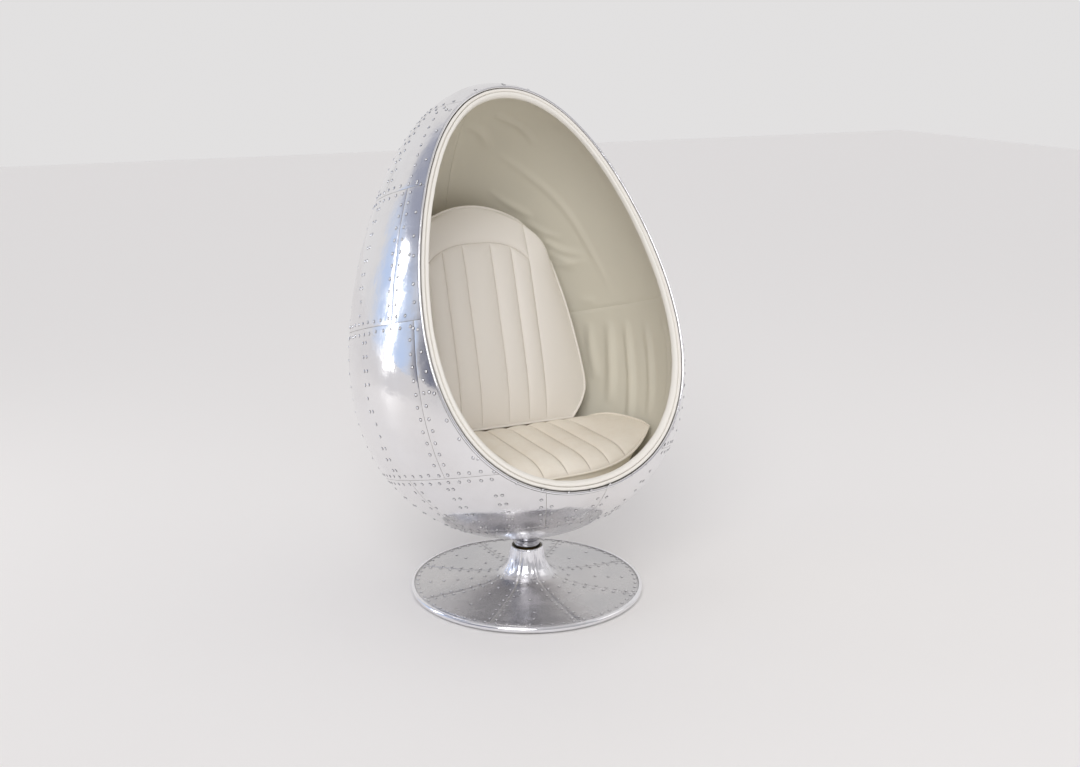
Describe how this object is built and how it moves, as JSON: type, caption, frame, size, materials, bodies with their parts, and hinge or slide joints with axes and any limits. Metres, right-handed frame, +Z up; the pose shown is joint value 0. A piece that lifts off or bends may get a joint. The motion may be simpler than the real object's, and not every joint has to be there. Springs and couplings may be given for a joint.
{
  "type": "pod chair",
  "caption": "Egg-shaped lounge pod of riveted metal sheet with a leather-lined seat cavity, sewn channel cushions and a round trumpet swivel base",
  "frame": {"origin": "Centre of the underside of the round base, on the floor and on the swivel axis.", "axes": "+Z is up, along the swivel axis. The open front of the egg faces -Y. +X is to the sitter's left when the chair is looked at from the front, that is to the right of the picture seen from the front."},
  "size_m": [1.0696, 1.1341, 1.6395],
  "materials": {
    "polished_aluminium": "polished sheet, slightly dented, riveted",
    "bright_aluminium": "mirror polished",
    "steel": "turned steel",
    "cast_iron": "as cast, painted dark",
    "bronze": "plain bearing bronze",
    "rubber": "matt sheet rubber",
    "fibreglass": "moulded glass-reinforced resin",
    "plywood": "birch plywood",
    "cushion_leather": "fine-grained upholstery leather, low sheen",
    "lining_leather": "fine-grained upholstery leather, low sheen",
    "rim_leather": "fine-grained upholstery leather, low sheen"
  },
  "bodies": {
    "base": {"floor_pad": "rubber", "base_plate": "cast_iron", "trumpet_core": "fibreglass", "trumpet_gore_1": "polished_aluminium", "trumpet_gore_2": "polished_aluminium", "trumpet_gore_3": "polished_aluminium", "trumpet_gore_4": "polished_aluminium", "trumpet_gore_5": "polished_aluminium", "trumpet_gore_6": "polished_aluminium", "trumpet_gore_7": "polished_aluminium", "trumpet_gore_8": "polished_aluminium", "base_bead": "bright_aluminium", "pedestal_post": "steel", "lower_bush": "bronze", "upper_bush": "bronze", "thrust_washer": "bronze"},
    "pod": {"swivel_hub": "bright_aluminium", "hub_block": "plywood", "hub_plate": "steel", "spindle": "steel", "retaining_ring": "steel", "spindle_nut": "steel", "egg_shell": "fibreglass", "cladding_crown": "polished_aluminium", "cladding_upper_1": "polished_aluminium", "cladding_upper_2": "polished_aluminium", "cladding_upper_3": "polished_aluminium", "cladding_upper_4": "polished_aluminium", "cladding_waist_1": "polished_aluminium", "cladding_waist_2": "polished_aluminium", "cladding_waist_3": "polished_aluminium", "cladding_waist_4": "polished_aluminium", "cladding_waist_5": "polished_aluminium", "cladding_belly_1": "polished_aluminium", "cladding_belly_2": "polished_aluminium", "cladding_belly_3": "polished_aluminium", "cladding_belly_4": "polished_aluminium", "cladding_belly_5": "polished_aluminium", "cladding_lower_1": "polished_aluminium", "cladding_lower_2": "polished_aluminium", "cladding_lower_3": "polished_aluminium", "cladding_lower_4": "polished_aluminium", "cladding_lower_5": "polished_aluminium", "cladding_keel": "polished_aluminium", "lining_hood_left": "lining_leather", "lining_side_left": "lining_leather", "lining_hood_right": "lining_leather", "lining_side_right": "lining_leather", "rim_strip": "bright_aluminium", "rim_welt": "rim_leather", "rim_roll": "rim_leather", "seat_deck": "plywood", "deck_pad": "lining_leather", "deck_cleat_left": "plywood", "deck_cleat_right": "plywood", "deck_cleat_rear": "plywood", "back_board": "plywood", "back_cleat": "plywood", "seat_cushion": "cushion_leather", "back_cushion": "cushion_leather"}
  },
  "joints": [
    {"name": "swivel", "type": "hinge", "parent": "base", "child": "pod", "pos_m": [0, 0, 0], "axis": [0, 0, 1], "continuous": true}
  ]
}
